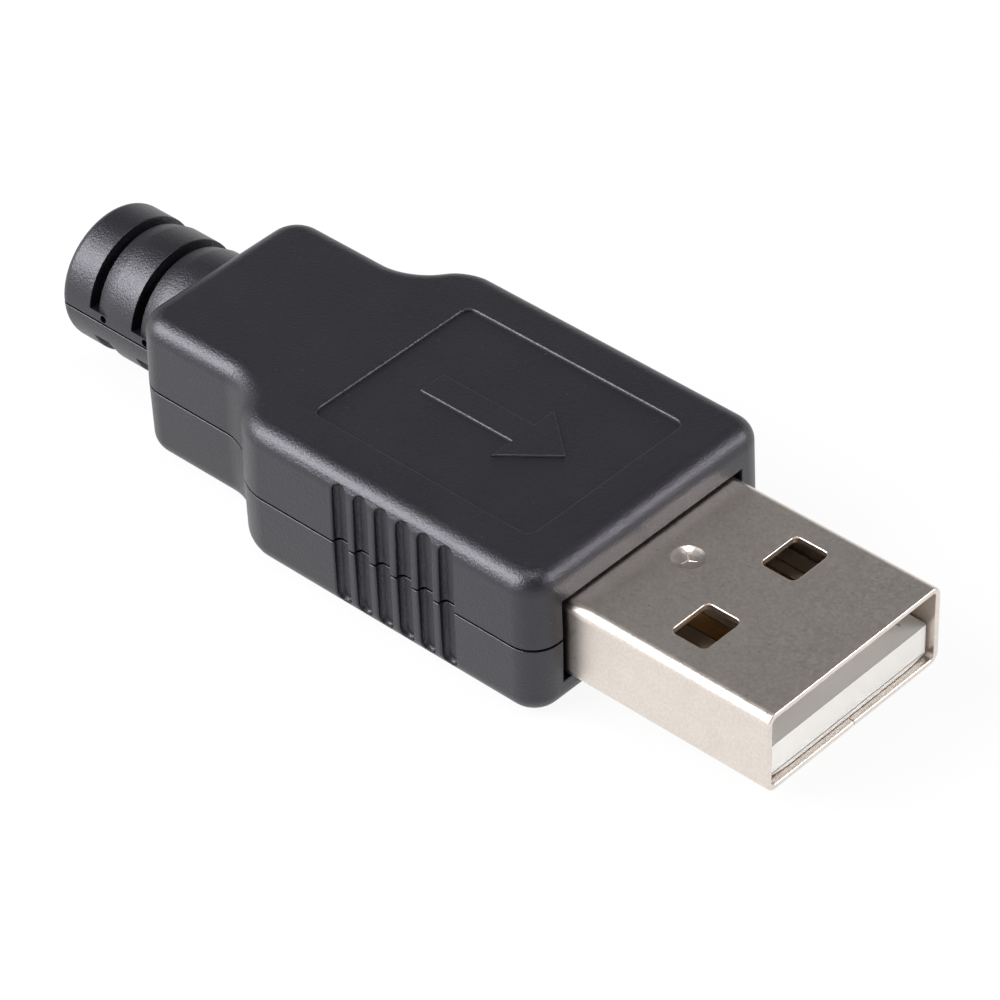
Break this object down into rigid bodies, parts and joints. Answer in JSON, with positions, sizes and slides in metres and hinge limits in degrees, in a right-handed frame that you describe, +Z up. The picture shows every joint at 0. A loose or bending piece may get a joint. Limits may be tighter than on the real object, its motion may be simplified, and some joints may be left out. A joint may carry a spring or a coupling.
{
  "type": "usb-a plug",
  "caption": "Cable-end USB-A plug: snap-together black covers with a ringed boot round a folded metal shell, a white contact carrier and its contact strips.",
  "frame": {"origin": "middle of the bounding box's bottom face, on the underside of the lower cover", "axes": "+X out of the plug's tip along its length, +Y across the plug, +Z up from the lower cover to the upper cover"},
  "size_m": [0.0476, 0.0162, 0.0081],
  "materials": {
    "cover_plastic": "fine spark-eroded grain, slightly satin",
    "shell_steel": "nickel-plated sheet, soft sheen",
    "carrier_plastic": "moulded, smooth",
    "contact_gold": "gold-plated"
  },
  "bodies": {
    "root": {"upper_cover": "cover_plastic", "lower_cover": "cover_plastic", "plug_shell": "shell_steel", "contact_carrier": "carrier_plastic", "contact_power": "contact_gold", "contact_data_minus": "contact_gold", "contact_data_plus": "contact_gold", "contact_ground": "contact_gold"}
  },
  "joints": []
}
